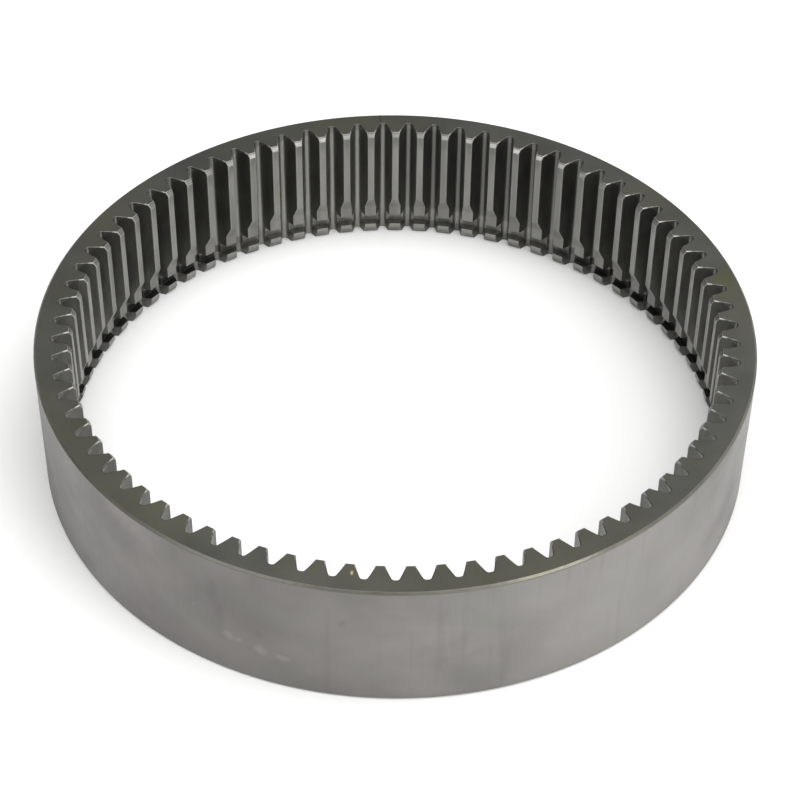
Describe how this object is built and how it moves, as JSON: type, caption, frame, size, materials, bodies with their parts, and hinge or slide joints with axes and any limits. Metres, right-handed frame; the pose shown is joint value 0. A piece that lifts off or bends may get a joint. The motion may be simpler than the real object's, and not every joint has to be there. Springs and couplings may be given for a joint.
{
  "type": "internal ring gear",
  "caption": "Steel ring with straight involute teeth on the inside, tip relief and a retaining ring groove near one end, for a planetary reduction.",
  "frame": {"origin": "centre of the lower face, the end with the groove and the lead-in", "axes": "+Z along the gear's axis, from the grooved end towards the end with the tip chamfers; +X through the middle of a tooth"},
  "size_m": [0.286, 0.286, 0.0577],
  "materials": {
    "gear_steel": "turned and broached alloy steel, oiled, dull grey"
  },
  "bodies": {
    "root": {"ring_gear": "gear_steel"}
  },
  "joints": []
}
